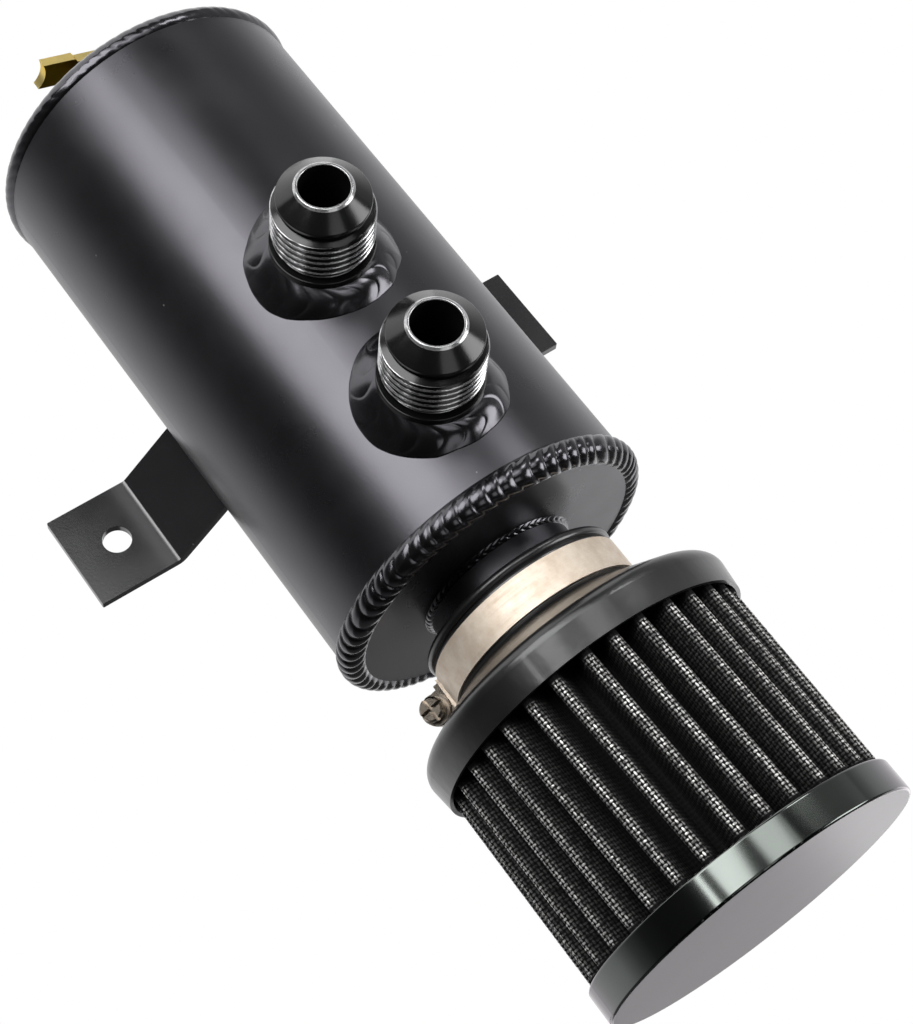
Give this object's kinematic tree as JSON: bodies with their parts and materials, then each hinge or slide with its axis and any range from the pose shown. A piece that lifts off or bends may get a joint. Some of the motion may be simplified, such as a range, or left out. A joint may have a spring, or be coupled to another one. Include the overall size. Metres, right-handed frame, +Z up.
{
  "type": "oil catch can",
  "caption": "Welded black oil catch can with flared hose ports, clamped pleated breather filter, brass needle drain valve and bent wall tabs.",
  "frame": {"origin": "midway between the two bolt holes, on the plane where the tabs meet the wall", "axes": "+Z up along the can towards the filter, +Y into the wall, hose ports towards -Y"},
  "size_m": [0.132, 0.1019, 0.261],
  "materials": {
    "black_coat": "satin black coating",
    "black_fitting": "black anodised, bright on edges",
    "brass": "bright, stamped",
    "packing": "plain",
    "rubber": "satin",
    "gauze": "wire gauze over black cotton",
    "end_cap": "gloss black rim, satin face",
    "stainless": "rolled",
    "screw_steel": "plated"
  },
  "bodies": {
    "can": {"bottom_cap": "black_coat", "bottom_weld_bead": "black_coat", "can_tube": "black_coat", "clamp_band": "stainless", "clamp_housing": "stainless", "drain_bung": "black_coat", "drain_bung_weld": "black_coat", "drain_gland_nut": "brass", "drain_packing": "packing", "drain_valve_body": "brass", "filter_boot": "rubber", "filter_end_cap": "end_cap", "filter_pleats": "gauze", "left_bracket_tab": "black_coat", "left_bracket_weld": "black_coat", "lower_port_fitting": "black_fitting", "lower_port_weld": "black_coat", "outlet_neck": "black_coat", "outlet_neck_weld": "black_coat", "right_bracket_tab": "black_coat", "right_bracket_weld": "black_coat", "top_cap": "black_coat", "top_weld_bead": "black_coat", "upper_port_fitting": "black_fitting", "upper_port_weld": "black_coat"},
    "drain_stem": {"drain_stem": "brass"},
    "drain_handle": {"drain_handle": "brass"},
    "clamp_screw": {"clamp_screw": "screw_steel"}
  },
  "joints": [
    {"name": "stem_lift", "type": "slide", "parent": "can", "child": "drain_stem", "axis": [0, 0, -1], "range_m": [0, 0.0022]},
    {"name": "handle_turn", "type": "hinge", "parent": "drain_stem", "child": "drain_handle", "pos_m": [0, -0.041, -0.097], "axis": [0, 0, -1], "range_deg": [0, 630]},
    {"name": "screw_turn", "type": "hinge", "parent": "can", "child": "clamp_screw", "pos_m": [0.02273, -0.02508, 0.0862], "axis": [0.5736, -0.8192, 0], "continuous": true}
  ],
  "couplings": [
    {"joint": "stem_lift", "follows": "handle_turn", "m_per_rad": 0.00019894}
  ]
}
